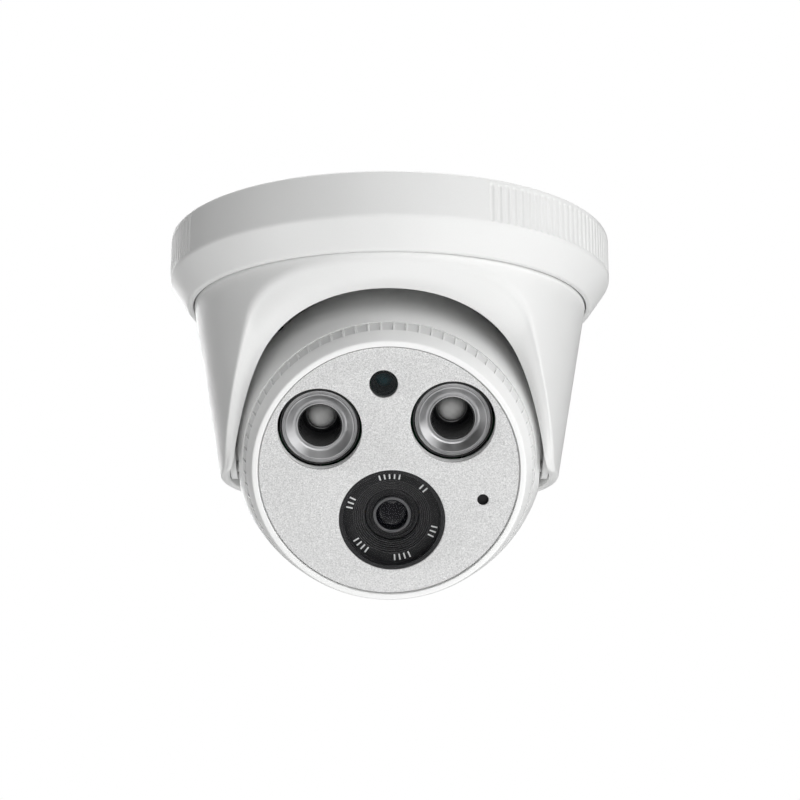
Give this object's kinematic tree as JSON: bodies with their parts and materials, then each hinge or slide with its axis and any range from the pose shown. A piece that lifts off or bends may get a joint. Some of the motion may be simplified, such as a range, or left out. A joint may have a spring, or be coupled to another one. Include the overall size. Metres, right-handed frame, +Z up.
{
  "type": "dome cctv camera",
  "caption": "Ceiling-mounted turret dome camera with a panning white shell, a tilting and rolling eyeball, infrared lamps and a twist-off trim ring.",
  "frame": {"origin": "centre of the mounting base's top face, where it meets the ceiling", "axes": "+Z up along the pan axis into the ceiling, -Y the way the camera faces at rest, +X to the right of someone looking at its face"},
  "size_m": [0.12, 0.12, 0.0979],
  "materials": {
    "white_plastic": "satin moulded ABS with a fine texture",
    "silver_panel": "silver paint with a fine sparkle",
    "window_glass": "clear polished glass",
    "lens_glass": "coated optical glass",
    "filter_glass": "infrared-cut filter glass",
    "clear_optic": "clear moulded acrylic",
    "tinted_window": "dark tinted acrylic",
    "black_plastic": "black moulded plastic",
    "black_rubber": "moulded rubber",
    "grey_metal": "satin aluminium",
    "steel": "zinc-plated steel",
    "brass": "turned brass",
    "circuit_board": "green solder mask",
    "component_dark": "epoxy package",
    "component_light": "nylon connector",
    "led_epoxy": "clear-grey epoxy"
  },
  "bodies": {
    "base": {"mounting_base": "white_plastic", "cable_grommet": "black_rubber", "pan_friction_ring": "black_plastic"},
    "trim_ring": {"trim_ring": "white_plastic"},
    "turret": {"turret_shell": "white_plastic", "pivot_bracket_left": "steel", "pivot_bracket_right": "steel", "tilt_washer_left": "black_plastic", "tilt_washer_right": "black_plastic", "bracket_screws": "steel"},
    "eyeball": {"ball_rear_shell": "white_plastic", "roll_seal": "black_rubber", "ball_cable_gland": "black_rubber"},
    "camera_head": {"front_cover": "white_plastic", "retaining_ring": "black_plastic", "face_panel": "silver_panel", "lens_window": "window_glass", "lens_shroud": "black_plastic", "lens_nose_ring": "grey_metal", "lens_barrel": "black_plastic", "lens_front_glass": "lens_glass", "lens_rear_glass": "lens_glass", "lens_lock_ring": "brass", "lens_mount": "black_plastic", "ir_cut_solenoid": "brass", "image_sensor": "component_dark", "main_board": "circuit_board", "processor_chip": "component_dark", "board_standoffs": "brass", "board_screws": "steel", "power_board": "circuit_board", "power_capacitors": "component_dark", "harness_connector": "component_light", "ir_board": "circuit_board", "ir_heat_sink": "grey_metal", "ir_led_left": "led_epoxy", "ir_led_right": "led_epoxy", "ir_optic_left": "clear_optic", "ir_optic_right": "clear_optic", "ir_cup_left": "black_plastic", "ir_cup_right": "black_plastic", "photosensor_window": "tinted_window", "photosensor_tube": "black_plastic", "photosensor": "led_epoxy", "microphone": "grey_metal", "microphone_boot": "black_rubber"},
    "ir_cut": {"ir_cut_filter": "filter_glass"}
  },
  "joints": [
    {"name": "ring_twist", "type": "hinge", "parent": "base", "child": "trim_ring", "pos_m": [0, 0, 0], "axis": [0, 0, 1], "range_deg": [-35, 0]},
    {"name": "turret_pan", "type": "hinge", "parent": "base", "child": "turret", "pos_m": [0, 0, 0], "axis": [0, 0, 1], "range_deg": [-175, 175]},
    {"name": "ball_tilt", "type": "hinge", "parent": "turret", "child": "eyeball", "pos_m": [0, 0, -0.055], "axis": [1, 0, 0], "range_deg": [-31, 44]},
    {"name": "image_roll", "type": "hinge", "parent": "eyeball", "child": "camera_head", "pos_m": [0, 0, -0.055], "axis": [0, -0.8572, -0.515], "range_deg": [-175, 175]},
    {"name": "ir_cut_shift", "type": "slide", "parent": "camera_head", "child": "ir_cut", "axis": [0.9984, -0.0287, 0.0478], "range_m": [0, 0.006]}
  ]
}
